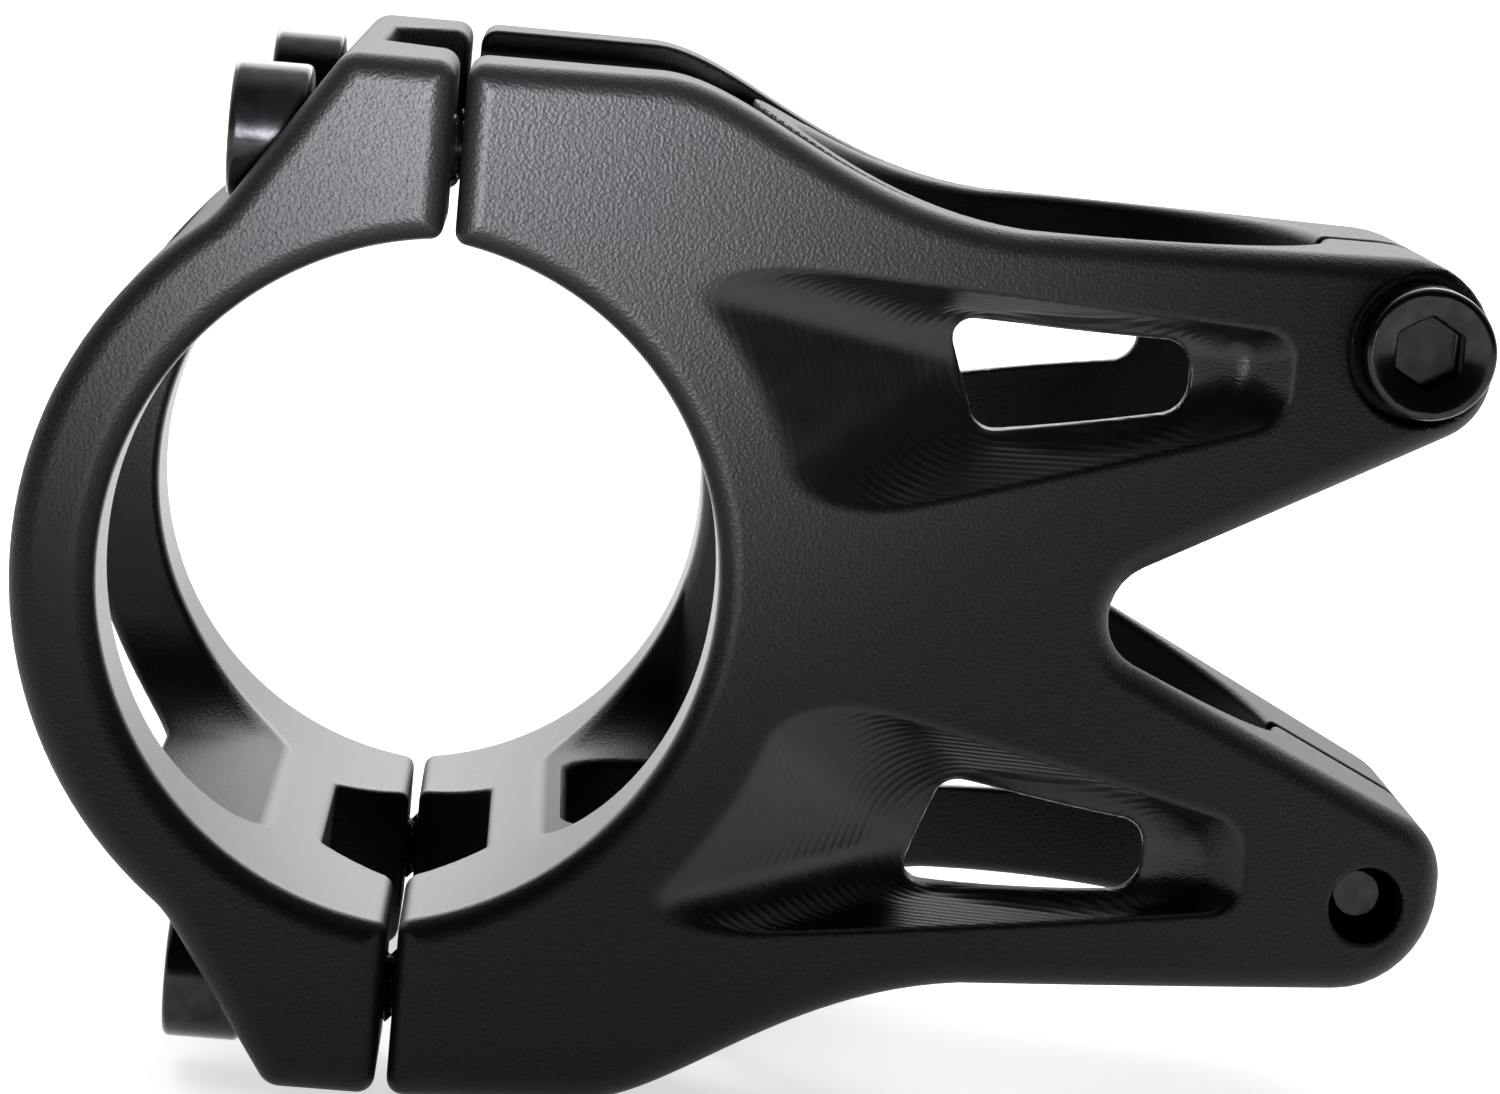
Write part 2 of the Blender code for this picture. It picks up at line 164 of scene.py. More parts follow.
def polygon(points, u, v):
    """Distance to a closed outline, negative inside it."""
    nearest = np.full(np.broadcast(u, v).shape, np.inf, dtype=np.float32)
    sign = np.ones(nearest.shape, dtype=np.float32)
    for (u0, v0), (u1, v1) in zip(points, points[1:] + points[:1]):
        du, dv = u1 - u0, v1 - v0
        along = np.clip(((u - u0) * du + (v - v0) * dv) / (du * du + dv * dv), 0, 1)
        nearest = np.minimum(nearest, (u - u0 - along * du) ** 2 + (v - v0 - along * dv) ** 2)
        above, below = v >= v0, v < v1
        left = du * (v - v0) > dv * (u - u0)
        crosses = (above & below & left) | ~(above | below | left)
        sign = np.where(crosses, -sign, sign)
    return sign * np.sqrt(nearest)


def rounded_box(u, v, half_u, half_v, corner):
    """Distance to a rectangle with rounded corners, from its centre."""
    u, v = np.abs(u) - (half_u - corner), np.abs(v) - (half_v - corner)
    return np.hypot(np.maximum(u, 0), np.maximum(v, 0)) + np.minimum(np.maximum(u, v), 0) - corner


def plane(x, y, z, through, normal):
    """Signed height over a plane."""
    size = math.sqrt(sum(n * n for n in normal))
    offset = sum(p * n for p, n in zip(through, normal))
    return (x * normal[0] + y * normal[1] + z * normal[2] - offset) / size


# ---------------------------------------------------------------- outlines

def corner_arc(before, corner, after, radius, steps=10):
    """Points that round one corner of a polygon to a radius."""
    if radius == 0:
        return [corner]
    angle_before = math.atan2(before[1] - corner[1], before[0] - corner[0])
    angle_after = math.atan2(after[1] - corner[1], after[0] - corner[0])
    opening = (angle_after - angle_before + math.pi) % (2 * math.pi) - math.pi
    middle = angle_before + opening / 2
    to_center = radius / math.sin(abs(opening) / 2)
    center = (corner[0] + to_center * math.cos(middle), corner[1] + to_center * math.sin(middle))
    sweep = math.pi - abs(opening)
    start = middle + math.pi + math.copysign(sweep / 2, opening)
    turn = -math.copysign(sweep, opening)
    return [
        (center[0] + radius * math.cos(start + turn * i / steps),
         center[1] + radius * math.sin(start + turn * i / steps))
        for i in range(steps + 1)]


def rounded(corners):
    """Closed outline from (u, v, radius) corners."""
    points = []
    count = len(corners)
    for i, (u, v, radius) in enumerate(corners):
        points.extend(corner_arc(corners[i - 1][:2], (u, v), corners[(i + 1) % count][:2], radius))
    return points


def shoulder(drop=0.0, steps=24):
    """Top edge from the clamp flange down to the steerer clamp, as points of a cubic curve."""
    ends = [(12.6, CLAMP_HALF_HEIGHT), (17.4, 26.25), (22.5, 20.3), (32.0, STACK / 2)]
    points = []
    for i in range(steps + 1):
        t = i / steps
        weights = ((1 - t) ** 3, 3 * t * (1 - t) ** 2, 3 * t * t * (1 - t), t ** 3)
        x, z = (sum(w * p[k] for w, p in zip(weights, ends)) for k in (0, 1))
        points.append((x, z - drop))
    return points


def body_side_outline():
    rear = REACH + ARM_END
    notch_end = NOTCH_SLOPE * (rear - NOTCH_POINT)
    upper = [(BODY_FACE, CLAMP_HALF_HEIGHT, SPLIT_CORNER_R)] + [(*p, 0) for p in shoulder()]
    upper += [(rear, STACK / 2, ARM_CORNER_R), (rear, notch_end, ARM_INNER_CORNER_R)]
    lower = [(x, -z, radius) for x, z, radius in reversed(upper)]
    return rounded(upper + [(NOTCH_POINT, 0, NOTCH_R)] + lower)


def faceplate_side_outline():
    steps = 40
    ring = []
    for i in range(steps + 1):
        angle = RING_START + (math.pi - RING_START) * 2 * i / steps
        ring.append((CLOSURE + FACEPLATE_OUTER_R * math.cos(angle), FACEPLATE_OUTER_R * math.sin(angle), 0))
    ring[0] = (*ring[0][:2], RING_CORNER_R)
    ring[-1] = (*ring[-1][:2], RING_CORNER_R)
    top = [(FACEPLATE_FACE, CLAMP_HALF_HEIGHT, SPLIT_CORNER_R)]
    top.append((PLATE_TOP_FRONT, CLAMP_HALF_HEIGHT, PLATE_TOP_CORNER_R))
    bottom = [(x, -z, radius) for x, z, radius in reversed(top)]
    return rounded(top + ring + bottom)


def relief_outline():
    """Hexagonal opening across the split, between a flange's two bolt pads."""
    middle = (BODY_FACE + FACEPLATE_FACE) / 2
    front, back = middle - RELIEF_HALF_LENGTH, middle + RELIEF_HALF_LENGTH
    corners = [(back, RELIEF_SIDE_Y), (middle, RELIEF_POINT_Y), (front, RELIEF_SIDE_Y)]
    corners += [(x, -y) for x, y in reversed(corners)]
    return rounded([(x, y, 1.0) for x, y in corners])


def window_outline():
    """Slot through the steerer clamp's side wall."""
    return rounded([(30.4, 9.1, 1.3), (41.4, 11.0, 1.6), (41.4, 14.6, 1.6), (28.3, 15.0, 1.0)])


BODY_SIDE = body_side_outline()
FACEPLATE_SIDE = faceplate_side_outline()
RELIEF = relief_outline()
SIDE_WINDOW = window_outline()
CHANNEL = [(0.0, CLAMP_HALF_HEIGHT - CHANNEL_DEPTH)] + shoulder(CHANNEL_DEPTH)
CHANNEL += [(CHANNEL_BACK, ABOVE_ALL), (0.0, ABOVE_ALL)]


# ---------------------------------------------------------------- tools that cut the pieces

def bar_bore(x, y, z, centre=0.0):
    return np.hypot(x - centre, z) - BAR_R


def faceplate_bore(x, y, z):
    return bar_bore(x, y, z, CLOSURE)


def steerer_bore(x, y, z):
    return np.hypot(x - REACH, y) - STEERER_R


def relief(x, y, z):
    return polygon(RELIEF, x, y)


def clamp_window(y, z, scale=1.0):
    size = [scale * v for v in (WINDOW_HALF_WIDTH, WINDOW_HALF_HEIGHT, WINDOW_CORNER_R)]
    return rounded_box(y, z, *size)


def hollow(x, y, z):
    """Open space between the bar and the steerer, narrowing rearwards."""
    scale = np.interp(x, (0, 17, HOLLOW_END), (1, 0.93, 0.5)).astype(np.float32)
    return both(clamp_window(y, z, scale), x - HOLLOW_END, 1.0)


def half_width(x):
    """Of the body's side faces, which taper rearwards."""
    distance = x - TAPER_START
    return CLAMP_HALF_WIDTH - TAPER_A * distance - TAPER_B * distance ** 2


def side_pocket(x, y, z):
    """Drafted pocket in each side face, above and below mid-height, its front wall flared round the bar.

    Each plane is given by a point on it and its direction out of the pocket.
    """
    y, z = np.abs(y), np.abs(z)
    flare = POCKET_RING_R + POCKET_FLARE * (half_width(x) - y) - np.hypot(x, z)
    front = flare / math.hypot(1, POCKET_FLARE)
    barrel = POCKET_BARREL_R - np.hypot(x - REACH, y)
    floor = plane(x, y, z, (20, 16.2, 10), (-4.3, -23.8, 0))
    lower = plane(x, y, z, (20, 16.2, 7.9), (4.7, -133.7, -159.8))
    upper = plane(x, y, z, (20, 16.2, 15.3), (-6.2, -60.1, 159.8))
    rear = plane(x, y, z, (43.8, 11.9, 13), (3.6, -5.8, 0))
    walls = both(both(lower, upper, POCKET_CORNER), front, POCKET_FRONT_CORNER)
    return both(walls, both(both(floor, barrel, 1.0), rear, 1.0), 1.2)


def side_windows(x, y, z):
    return polygon(SIDE_WINDOW, x, np.abs(z))


def well(x, y, z):
    """Upright well between the clamp and the steerer barrel."""
    box = rounded_box(x - WELL_MIDDLE, y, WELL_HALF_LENGTH, WELL_HALF_WIDTH, WELL_CORNER_R)
    return both(box, BARREL_R - np.hypot(x - REACH, y), 0.6)


def channel(x, y, z):
    """Shallow channels along the top and bottom, ending round the steerer barrel."""
    section = both(polygon(CHANNEL, x, np.abs(z)), np.abs(y) - CHANNEL_HALF_WIDTH, 0.8)
    return both(section, BARREL_R + 0.5 - np.hypot(x - REACH, y), 0.8)


def clamp_slot(x, y, z):
    return both(np.abs(y) - SLOT_HALF_WIDTH, SLOT_START - x)


def plate_bolt_holes(x, y, z):
    radius = np.hypot(np.abs(y) - PLATE_BOLT_Y, np.abs(z) - PLATE_BOLT_Z)
    return both(radius - HOLE_R, x - 13)


def plate_spot_faces(x, y, z):
    radius = np.hypot(np.abs(y) - PLATE_BOLT_Y, np.abs(z) - PLATE_BOLT_Z)
    return both(radius - SPOT_R, x - PLATE_SEAT, 0.3)


def pinch_bolt_holes(x, y, z):
    return np.hypot(x - PINCH_X, np.abs(z) - PINCH_Z) - HOLE_R


def pinch_spot_faces(x, y, z):
    """The upper screw's head is on the -y side, and the lower one's on the +y side."""
    radius = np.hypot(x - PINCH_X, np.abs(z) - PINCH_Z)
    head_side = -y * np.sign(z)
    return both(radius - SPOT_R, PINCH_SEAT_Y - head_side, 0.3)


# ---------------------------------------------------------------- the two machined pieces

def body_field(x, y, z):
    profile = cut(polygon(BODY_SIDE, x, z), bar_bore(x, y, z), BORE_END)
    slope = TAPER_A + 2 * TAPER_B * (x - TAPER_START)
    sides = (np.abs(y) - half_width(x)) / np.hypot(1, slope)
    solid = both(profile, sides, BLASTED_EDGE)
    solid = cut(solid, channel(x, y, z), CRISP)
    solid = cut(solid, side_pocket(x, y, z), CRISP)
    solid = cut(solid, well(x, y, z), CRISP)
    solid = cut(solid, hollow(x, y, z), INNER_EDGE)
    solid = cut(solid, relief(x, y, z), CRISP)
    solid = cut(solid, steerer_bore(x, y, z), INNER_EDGE)
    solid = cut(solid, side_windows(x, y, z), CRISP)
    solid = cut(solid, clamp_slot(x, y, z), CRISP)
    solid = cut(solid, plate_bolt_holes(x, y, z), CRISP)
    solid = cut(solid, pinch_bolt_holes(x, y, z), CRISP)
    return cut(solid, pinch_spot_faces(x, y, z), CRISP)


def faceplate_field(x, y, z):
    profile = cut(polygon(FACEPLATE_SIDE, x, z), faceplate_bore(x, y, z), BORE_END)
    solid = both(profile, np.abs(y) - CLAMP_HALF_WIDTH, BLASTED_EDGE)
    solid = cut(solid, both(clamp_window(y, z), x), INNER_EDGE)
    solid = cut(solid, relief(x, y, z), CRISP)
    solid = cut(solid, plate_spot_faces(x, y, z), CRISP)
    return cut(solid, plate_bolt_holes(x, y, z), CRISP)


# ---------------------------------------------------------------- screws, head up, head's underside at z = 0

HEAD_R = 3.5
HEAD_H = 4.0
DISH_R = 2.9
SOCKET_FLATS = 3.5
SOCKET_DEPTH = 2.5
THREAD_R = 1.95
THREAD_DEPTH = 0.4
THREAD_PITCH = 0.7
PLAIN_SHANK = 3.0


def socket_field(x, y, z):
    """Hexagonal socket below a dished face."""
    flats = [np.abs(x * math.cos(a) + y * math.sin(a)) for a in (0, math.pi / 3, 2 * math.pi / 3)]
    flats = [flat - SOCKET_FLATS / 2 for flat in flats]
    hexagon = both(both(flats[0], flats[1], 0.1), flats[2], 0.1)
    dish = (np.hypot(x, y) - DISH_R + (HEAD_H - z) * 1.7) / math.hypot(1, 1.7)
    return either(both(hexagon, HEAD_H - SOCKET_DEPTH - z, 0.15), dish, 0.08)


def screw_field(length):
    def field(x, y, z):
        radius = np.hypot(x, y)
        head = both(radius - HEAD_R, np.abs(z - HEAD_H / 2) - HEAD_H / 2, 0.4)
        head = cut(head, socket_field(x, y, z), 0.12)
        turns = z / THREAD_PITCH - np.arctan2(y, x) / (2 * math.pi)
        groove = THREAD_DEPTH * (1 - 2 * np.abs(turns - np.floor(turns) - 0.5))
        groove = groove * np.clip(-z - PLAIN_SHANK, 0, 1)
        shank = (radius - THREAD_R + groove) / 1.4
        shank = both(shank, np.maximum(z - 0.5, -z - length), 0.0)
        tip = (radius - THREAD_R - 0.1 + (-z - length + 0.8)) / math.sqrt(2)
        return either(head, both(shank, tip), 0.25)
    return field


# ---------------------------------------------------------------- meshing

def lattice(low, high, step):
    """Coordinates of a lattice's points along each axis, shaped to be combined by broadcasting."""
    shapes = ((-1, 1, 1), (1, -1, 1), (1, 1, -1))
    return [np.arange(low[i], high[i] + step, step, dtype=np.float32).reshape(shapes[i]) for i in range(3)]


def surface_net(values, low, step):
    """Vertices and quads of a lattice's zero surface: one vertex in each cell that it crosses."""
    inside = values < 0
    cells_shape = tuple(n - 1 for n in values.shape)
    count = np.zeros(cells_shape, dtype=np.int8)
    for i, j, k in itertools.product((0, 1), repeat=3):
        count += inside[i:i + cells_shape[0], j:j + cells_shape[1], k:k + cells_shape[2]]
    cells = np.argwhere((count > 0) & (count < 8))
    index = np.full(cells_shape, -1, dtype=np.int32)
    index[tuple(cells.T)] = np.arange(len(cells))
    total = np.zeros(cells.shape)
    crossings = np.zeros(len(cells))
    for axis in range(3):
        unit = np.eye(3, dtype=int)[axis]
        for a, b in itertools.product((0, 1), repeat=2):
            offset = np.insert([a, b], axis, 0)
            start = values[tuple((cells + offset).T)].astype(float)
            end = values[tuple((cells + offset + unit).T)].astype(float)
            crosses = (start < 0) != (end < 0)
            share = np.where(crosses, start / np.where(crosses, start - end, 1), 0)
            total += crosses[:, None] * (offset + share[:, None] * unit)
            crossings += crosses
    vertices = np.array(low) + step * (cells + total / crossings[:, None])
    quads = []
    for axis in range(3):
        u, v = (axis + 1) % 3, (axis + 2) % 3
        units = np.eye(3, dtype=int)
        first = np.moveaxis(inside, axis, 0)
        changes = np.moveaxis(first[:-1] != first[1:], 0, axis)
        edges = np.argwhere(changes)
        around = [edges, edges - units[u], edges - units[u] - units[v], edges - units[v]]
        quad = np.stack([index[tuple(corner.T)] for corner in around], axis=1)
        outward = inside[tuple(edges.T)]
        quad[~outward] = quad[~outward][:, ::-1]
        quads.append(quad)
    return vertices, np.concatenate(quads)


def gradient(field, points, reach=0.01):
    """The field's value and gradient at points, from four samples around each."""
    value = np.zeros(len(points))
    slope = np.zeros(points.shape)
    for corner in ((1, 1, 1), (1, -1, -1), (-1, 1, -1), (-1, -1, 1)):
        sample = field(*(points + reach * np.array(corner)).T)
        value += sample / 4
        slope += sample[:, None] * np.array(corner) / (4 * reach)
    return value, slope


def settled(field, points, step, rounds=3):
    """Points moved onto the field's surface, and the surface's normals there."""
    for _ in range(rounds):
        value, slope = gradient(field, points)
        size = np.maximum((slope ** 2).sum(1), 0.1)
        move = -(value / size)[:, None] * slope
        length = np.linalg.norm(move, axis=1, keepdims=True)
        points = points + move * np.minimum(1, step / np.maximum(length, 1e-9))
    slope = gradient(field, points)[1]
    return points, slope / np.maximum(np.linalg.norm(slope, axis=1, keepdims=True), 1e-9)


def mesh_from(name, vertices, faces):
    mesh = bpy.data.meshes.new(name)
    mesh.from_pydata(vertices, [], faces)
    mesh.validate()
    mesh.update()
    return mesh


def thinned(mesh, triangles):
    """A mesh decimated to a number of triangles."""
    obj = bpy.data.objects.new("thinning", mesh)
    bpy.context.scene.collection.objects.link(obj)
    decimate = obj.modifiers.new("decimate", "DECIMATE")
    decimate.ratio = min(1.0, triangles / (2 * len(mesh.polygons)))
    decimate.use_collapse_triangulate = True
    bpy.context.view_layer.update()
    result = bpy.data.meshes.new_from_object(obj.evaluated_get(bpy.context.evaluated_depsgraph_get()))
    bpy.data.objects.remove(obj, do_unlink=True)
    return result


def coordinates(mesh):
    flat = np.zeros(len(mesh.vertices) * 3)
    mesh.vertices.foreach_get("co", flat)
    return flat.reshape(-1, 3)


def corner_normals(mesh, normals):
    """Each corner takes the surface's normal, or its own triangle's where an edge is too sharp."""
    corners = np.zeros(len(mesh.loops), dtype=np.int32)
    mesh.loops.foreach_get("vertex_index", corners)
    flat = np.zeros(len(mesh.polygons) * 3)
    mesh.polygons.foreach_get("normal", flat)
    flat = np.repeat(flat.reshape(-1, 3), 3, axis=0)
    smooth = normals[corners]
    sharp = (flat * smooth).sum(1) < SHARPEST
    return np.where(sharp[:, None], flat, smooth)


def machined_mesh(name, field, low, high, step, triangles):
    """Mesh of a field's surface in its own millimetres, with exact positions and normals."""
    low = [v - 2 * step for v in low]
    axes = lattice(low, [v + 2 * step for v in high], step)
    values = np.broadcast_to(field(*axes), [axis.size for axis in axes])
    mesh = thinned(mesh_from(name, *surface_net(values, low, step)), triangles)
    points, normals = settled(field, coordinates(mesh), step)
    mesh.vertices.foreach_set("co", points.ravel())
    mesh.update()
    mesh.shade_smooth()
    mesh.normals_split_custom_set(corner_normals(mesh, normals))
    return mesh


def place(mesh, name, matrix):
    obj = bpy.data.objects.new(name, mesh)
    bpy.context.scene.collection.objects.link(obj)
    mesh.transform(matrix)
    return obj


# ---------------------------------------------------------------- materials

# Widths and heights of surface marks, in metres.
GRAIN_SIZE = 0.00017
GRAIN_HEIGHT = 0.000026
PEBBLE_SIZE = 0.00018
PEBBLE_HEIGHT = 0.000018
MILL_STEP = 0.0003
MILL_HEIGHT = 0.000014
WOBBLE_SIZE = 0.002
WOBBLE = 0.00008
STREAK_SIZE = 0.0001
STREAK_HEIGHT = 0.00003
FINE_SIZE = 0.00009
FINE_HEIGHT = 0.000004
BORED_HEIGHT = 0.00001

# World x, in metres, where the pockets' rear ramps begin and where their streaks reach full strength.
RAMP_START = 0.0064
RAMP_FULL = 0.0074


def shader_tree(name, color, roughness, metallic=0.0, ior=1.5):
    material = bpy.data.materials.new(name)
    material.use_nodes = True
    tree = material.node_tree
    shader = tree.nodes["Principled BSDF"]
    shader.inputs["Base Color"].default_value = (*color, 1.0)
    shader.inputs["Roughness"].default_value = roughness
    shader.inputs["Metallic"].default_value = metallic
    shader.inputs["IOR"].default_value = ior
    position = tree.nodes.new("ShaderNodeTexCoord").outputs["Object"]
    return material, tree, shader, position


def noise(tree, position, size, detail=2.0, roughness=0.5):
    """Noise whose features measure about size, in metres."""
    node = tree.nodes.new("ShaderNodeTexNoise")
    node.inputs["Scale"].default_value = 1 / size
    node.inputs["Detail"].default_value = detail
    node.inputs["Roughness"].default_value = roughness
    tree.links.new(position, node.inputs["Vector"])
    return node.outputs["Fac"]


def pebbles(tree, position, size, smoothness=0.6):
    """Rounded cells about size across, in metres, as a blasted surface has."""
    node = tree.nodes.new("ShaderNodeTexVoronoi")
    node.feature = "SMOOTH_F1"
    node.inputs["Scale"].default_value = 1 / size
    node.inputs["Smoothness"].default_value = smoothness
    tree.links.new(position, node.inputs["Vector"])
    return node.outputs["Distance"]


def calculate(tree, operation, *values):
    node = tree.nodes.new("ShaderNodeMath")
    node.operation = operation
    for socket, value in zip(node.inputs, values):
        if isinstance(value, (int, float)):
            socket.default_value = value
        else:
            tree.links.new(value, socket)
    return node.outputs[0]


def span(tree, value, low, high):
    """A 0 to 1 value spread over another range."""
    node = tree.nodes.new("ShaderNodeMapRange")
    node.inputs["To Min"].default_value = low
    node.inputs["To Max"].default_value = high
    tree.links.new(value, node.inputs["Value"])
    return node.outputs["Result"]


def blend_colors(tree, factor, dark, light):
    node = tree.nodes.new("ShaderNodeValToRGB")
    node.color_ramp.elements[0].color = (*dark, 1)
    node.color_ramp.elements[1].color = (*light, 1)
    node.color_ramp.elements[0].position = 0.3
    node.color_ramp.elements[1].position = 0.7
    tree.links.new(factor, node.inputs["Fac"])
    return node.outputs["Color"]


def add_bump(tree, shader, height, distance, strength=1.0):
    node = tree.nodes.new("ShaderNodeBump")
    node.inputs["Distance"].default_value = distance
    node.inputs["Strength"].default_value = strength
    tree.links.new(height, node.inputs["Height"])
    old = shader.inputs["Normal"].links
    if old:
        tree.links.new(old[0].from_socket, node.inputs["Normal"])
    tree.links.new(node.outputs["Normal"], shader.inputs["Normal"])


def attribute(tree, name):
    node = tree.nodes.new("ShaderNodeAttribute")
    node.attribute_name = name
    return node.outputs["Fac"]


def by_finish(tree, weights, values):
    """A value for the blasted finish, overlaid by those of the other finishes where they apply."""
    result = values[0]
    for weight, value in zip(weights, values[1:]):
        mix = tree.nodes.new("ShaderNodeMix")
        tree.links.new(weight, mix.inputs["Factor"])
        for socket, source in ((mix.inputs["A"], result), (mix.inputs["B"], value)):
            if isinstance(source, (int, float)):
                socket.default_value = source
            else:
                tree.links.new(source, socket)
        result = mix.outputs["Result"]
    return result


def blasted_height(tree, position):
    """Leathery grain of soft pebbles, in metres."""
    grain = calculate(tree, "MULTIPLY", noise(tree, position, GRAIN_SIZE, 1.5), GRAIN_HEIGHT)
    cells = calculate(tree, "MULTIPLY", pebbles(tree, position, PEBBLE_SIZE), PEBBLE_HEIGHT)
    return calculate(tree, "ADD", grain, cells)


def milled_height(tree, position):
    """Ridges that a ball-nosed mill leaves at each step of depth; on the rear ramps, crossed streaks."""
    split = tree.nodes.new("ShaderNodeSeparateXYZ")
    tree.links.new(position, split.inputs[0])
    wobble = calculate(tree, "MULTIPLY", noise(tree, position, WOBBLE_SIZE), WOBBLE)
    depth = calculate(tree, "ADD", split.outputs["Y"], wobble)
    wave = calculate(tree, "SINE", calculate(tree, "MULTIPLY", depth, math.pi / MILL_STEP))
    ridges = calculate(tree, "MULTIPLY", calculate(tree, "ABSOLUTE", wave), MILL_HEIGHT)
    stretch = tree.nodes.new("ShaderNodeMapping")
    stretch.inputs["Scale"].default_value = (0.35, 1.0, 1.0)
    tree.links.new(position, stretch.inputs["Vector"])
    streaks = noise(tree, stretch.outputs["Vector"], STREAK_SIZE)
    streaks = calculate(tree, "MULTIPLY", streaks, STREAK_HEIGHT)
    ramp = tree.nodes.new("ShaderNodeMapRange")
    ramp.inputs["From Min"].default_value = RAMP_START
    ramp.inputs["From Max"].default_value = RAMP_FULL
    tree.links.new(split.outputs["X"], ramp.inputs["Value"])
    cut_marks = by_finish(tree, [ramp.outputs["Result"]], [ridges, streaks])
    fine = calculate(tree, "MULTIPLY", noise(tree, position, FINE_SIZE), FINE_HEIGHT)
    return calculate(tree, "ADD", cut_marks, fine)


def machined_material():
    """Black anodised aluminium: blasted outside, cutter-marked in the pockets, sandy satin in the bores,
    where a lighter base colour is a painted reflection.
    """
    material, tree, shader, position = shader_tree("black_anodised", (0.01, 0.01, 0.011), 0.45)
    weights = attribute(tree, "milled"), attribute(tree, "bored")
    broad = noise(tree, position, 0.004, 2.0)
    grain = noise(tree, position, 0.00015, 3.0, 0.6)
    patches = noise(tree, position, 0.0015)
    blasted_roughness, bored_roughness = span(tree, grain, 0.42, 0.56), span(tree, grain, 0.26, 0.4)
    roughness = (blasted_roughness, span(tree, patches, 0.24, 0.36), bored_roughness)
    tree.links.new(by_finish(tree, weights, roughness), shader.inputs["Roughness"])
    tree.links.new(by_finish(tree, weights, (1.32, 1.45, 1.55)), shader.inputs["IOR"])
    bored_grain = calculate(tree, "MULTIPLY", noise(tree, position, FINE_SIZE), BORED_HEIGHT)
    heights = (blasted_height(tree, position), milled_height(tree, position), bored_grain)
    add_bump(tree, shader, by_finish(tree, weights, heights), 1.0)
    # Base colours: near black on blasted and milled faces; lighter in the bores, a painted reflection of the
    # bright surroundings.
    tones_and_painted_bore_reflection = (span(tree, broad, 0.002, 0.003), 0.002, span(tree, broad, 0.012, 0.02))
    tint = tree.nodes.new("ShaderNodeVectorMath")
    tint.operation = "SCALE"
    tint.inputs[0].default_value = (1.0, 0.98, 1.12)
    tree.links.new(by_finish(tree, weights, tones_and_painted_bore_reflection), tint.inputs["Scale"])
    tree.links.new(tint.outputs["Vector"], shader.inputs["Base Color"])
    return material


def oxide_material():
    """Black oxide on the cap screws, smooth and oiled."""
    material, tree, shader, position = shader_tree("black_oxide", (0.03, 0.03, 0.032), 0.2, 0.9)
    fine = noise(tree, position, 0.00035, 3.0)
    add_bump(tree, shader, fine, 0.00001, 0.5)
    tree.links.new(span(tree, noise(tree, position, 0.0012, 3.0), 0.14, 0.28), shader.inputs["Roughness"])
    dark, light = (0.022, 0.022, 0.024), (0.036, 0.035, 0.037)
    color = blend_colors(tree, noise(tree, position, 0.0008), dark, light)
    tree.links.new(color, shader.inputs["Base Color"])
    return material


def floor_material():
    material, _, shader, _ = shader_tree("pale_floor", (0.85, 0.85, 0.85), 0.7)
    shader.inputs["Emission Color"].default_value = (1, 1, 1, 1)
    shader.inputs["Emission Strength"].default_value = 0.65
    return material


# ---------------------------------------------------------------- pieces

def mark_finish(mesh, name, tools):
    """Store, at each vertex, whether it lies on one of these tools' surfaces."""
    x, y, z = coordinates(mesh).T
    nearest = np.min([np.abs(tool(x, y, z)) for tool in tools], axis=0)
    weight = np.clip((0.14 - nearest) / 0.1, 0, 1)
    mesh.attributes.new(name, "FLOAT", "POINT").data.foreach_set("value", weight.astype(np.float32))


def machined_piece(node, field, low, high, triangles, material, milled, bored, body):
    mesh = machined_mesh(node, field, low, high, PIECE_STEP, triangles)
    mark_finish(mesh, "milled", milled)
    mark_finish(mesh, "bored", bored)
    mesh.materials.append(material)
    to_world = Matrix.Translation(BAR_CENTRE) @ Matrix.Scale(MM, 4)
    piece = place(mesh, node + "_surface", to_world)
    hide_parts(node)
    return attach(piece, body)


def build_body(material):
    low = (BODY_FACE, -CLAMP_HALF_WIDTH, -CLAMP_HALF_HEIGHT)
    high = (REACH + ARM_END, CLAMP_HALF_WIDTH, CLAMP_HALF_HEIGHT)
    milled, bored = (side_pocket, side_windows), (bar_bore,)
    return machined_piece("stem_body", body_field, low, high, BODY_TRIANGLES, material, milled, bored, "stem")


def build_faceplate(material):
    low = (CLOSURE - FACEPLATE_OUTER_R, -CLAMP_HALF_WIDTH, -CLAMP_HALF_HEIGHT)
    high = (FACEPLATE_FACE, CLAMP_HALF_WIDTH, CLAMP_HALF_HEIGHT)
    milled, bored = (plate_spot_faces,), (faceplate_bore,)
    return machined_piece(
        "faceplate", faceplate_field, low, high, FACEPLATE_TRIANGLES, material, milled, bored,
        "faceplate_body")


def screw(node, mesh, underside, axis, roll, material):
    """One cap screw, its head's underside at a point of the bar frame and its head along an axis."""
    turn = Vector(axis).to_track_quat("Z", "Y").to_matrix().to_4x4()
    to_world = Matrix.Translation(BAR_CENTRE + Vector(underside) * MM) @ turn
    to_world = to_world @ Matrix.Rotation(roll, 4, "Z") @ Matrix.Scale(MM, 4)
    own = mesh.copy()
    own.materials.append(material)
    piece = place(own, node + "_surface", to_world)
    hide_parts(node)
    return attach(piece, node + "_body")


def screw_mesh(length):
    low, high = (-HEAD_R, -HEAD_R, -length), (HEAD_R, HEAD_R, HEAD_H)
    return machined_mesh("cap_screw", screw_field(length), low, high, SCREW_STEP, SCREW_TRIANGLES)


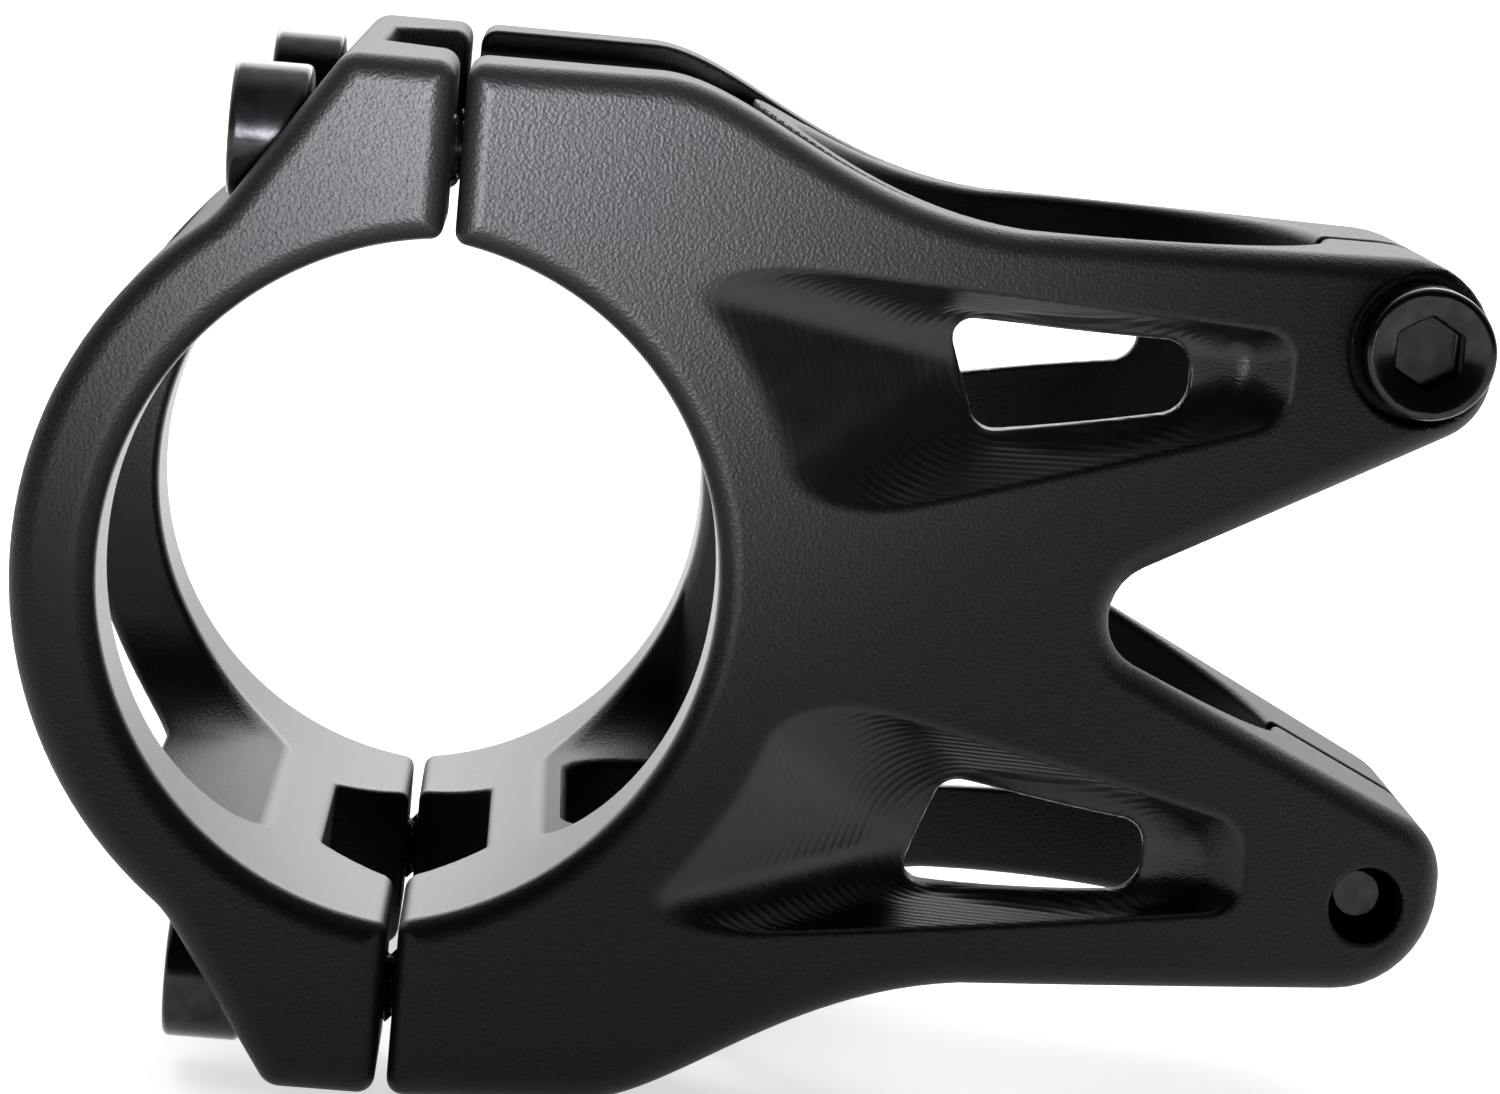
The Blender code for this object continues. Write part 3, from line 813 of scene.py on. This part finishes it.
def build_screws(material):
    mesh = screw_mesh(PLATE_BOLT_LENGTH)
    for i, (height, side) in enumerate(itertools.product(("top", "bottom"), ("left", "right"))):
        y = PLATE_BOLT_Y if side == "left" else -PLATE_BOLT_Y
        z = PLATE_BOLT_Z if height == "top" else -PLATE_BOLT_Z
        node = f"faceplate_bolt_{height}_{side}"
        screw(node, mesh, (PLATE_SEAT - SCREW_GAP, y, z), (-1, 0, 0), 0.3 + 0.7 * i, material)
    mesh = screw_mesh(PINCH_BOLT_LENGTH)
    for height, z, facing in (("upper", PINCH_Z, -1), ("lower", -PINCH_Z, 1)):
        underside = (PINCH_X, (PINCH_SEAT_Y + SCREW_GAP) * facing, z)
        screw(f"pinch_bolt_{height}", mesh, underside, (0, facing, 0), 0.0, material)


# ---------------------------------------------------------------- studio

FLOOR_SIZE = 3.2
FLOOR_GAP = 0.0002


def build_floor():
    """Flat pale floor, just clear of the stem's underside."""
    below = cad_box[0][2] - FLOOR_GAP
    bpy.ops.mesh.primitive_grid_add(
        x_subdivisions=8, y_subdivisions=8, size=FLOOR_SIZE, location=(0, 0, below))
    floor = bpy.context.object
    floor.name = "floor"
    floor.data.materials.append(floor_material())


def aim(name, data, location, target):
    """Hang a light at a point and turn it towards another."""
    light = bpy.data.objects.new(name, data)
    bpy.context.scene.collection.objects.link(light)
    light.location = location
    light.rotation_euler = (Vector(target) - Vector(location)).to_track_quat("-Z", "Y").to_euler()


def soft_light(name, location, target, size, energy):
    data = bpy.data.lights.new(name, "AREA")
    data.shape = "RECTANGLE"
    data.size, data.size_y = size
    data.energy = energy
    aim(name, data, location, target)


def snooted_light(name, location, target, radius, cone, energy):
    """Soft lamp whose beam fades out towards the edge of its cone."""
    data = bpy.data.lights.new(name, "SPOT")
    data.shadow_soft_size = radius
    data.spot_size = cone
    data.spot_blend = 1.0
    data.energy = energy
    data.color = (1.0, 0.97, 1.04)
    aim(name, data, location, target)


def build_world():
    """White to the eye; as a light, bright behind the stem, less so overhead, and dark in front."""
    world = bpy.data.worlds.new("studio")
    bpy.context.scene.world = world
    world.use_nodes = True
    tree = world.node_tree
    background = tree.nodes["Background"]
    background.inputs["Color"].default_value = (1, 1, 1, 1)
    direction = tree.nodes.new("ShaderNodeTexCoord").outputs["Generated"]
    split = tree.nodes.new("ShaderNodeSeparateXYZ")
    tree.links.new(direction, split.inputs[0])
    behind = calculate(tree, "ADD", split.outputs["Y"], calculate(tree, "MULTIPLY", split.outputs["Z"], 0.3))
    shade = tree.nodes.new("ShaderNodeMapRange")
    shade.interpolation_type = "SMOOTHSTEP"
    for name, value in (("From Min", -0.1), ("From Max", 0.6), ("To Min", 0.015), ("To Max", 1.35)):
        shade.inputs[name].default_value = value
    tree.links.new(behind, shade.inputs["Value"])
    seen = tree.nodes.new("ShaderNodeLightPath").outputs["Is Camera Ray"]
    mix = tree.nodes.new("ShaderNodeMix")
    tree.links.new(seen, mix.inputs["Factor"])
    tree.links.new(shade.outputs["Result"], mix.inputs["A"])
    mix.inputs["B"].default_value = 1.5
    tree.links.new(mix.outputs["Result"], background.inputs["Strength"])


def build_studio():
    build_world()
    # The key stands lower than the top faces, so that it never skims them.
    snooted_light("key", location=(-0.012, -0.215, 0.034), target=(-0.028, -0.025, 0.058),
                  radius=0.02, cone=math.radians(22), energy=10.5)
    soft_light("back", location=(0.0, 0.6, 0.45), target=(-0.015, 0.1, 0.0), size=(0.9, 0.5), energy=5.0)


def build_camera():
    """Seen from the stem's left side, from a little in front, a little above, and rolled."""
    azimuth, elevation, roll = math.radians(2.5), math.radians(7.6), math.radians(5.1)
    target = Vector((-0.01515, 0.0, 0.0198))
    distance = 0.297
    forward = Vector((math.sin(azimuth) * math.cos(elevation), math.cos(azimuth) * math.cos(elevation),
                      -math.sin(elevation)))
    data = bpy.data.cameras.new("camera")
    data.sensor_width = 36
    data.lens = 129.7
    data.clip_start = 0.01
    camera = bpy.data.objects.new("camera", data)
    bpy.context.scene.collection.objects.link(camera)
    camera.location = target - forward * distance
    turn = forward.to_track_quat("-Z", "Y") @ Matrix.Rotation(roll, 3, "Z").to_quaternion()
    camera.rotation_euler = turn.to_euler()
    bpy.context.scene.camera = camera


bpy.context.scene.view_settings.view_transform = "Standard"
build_camera()
anodised = machined_material()
build_body(anodised)
build_faceplate(anodised)
build_screws(oxide_material())
build_floor()
build_studio()

bpy.context.view_layer.update()
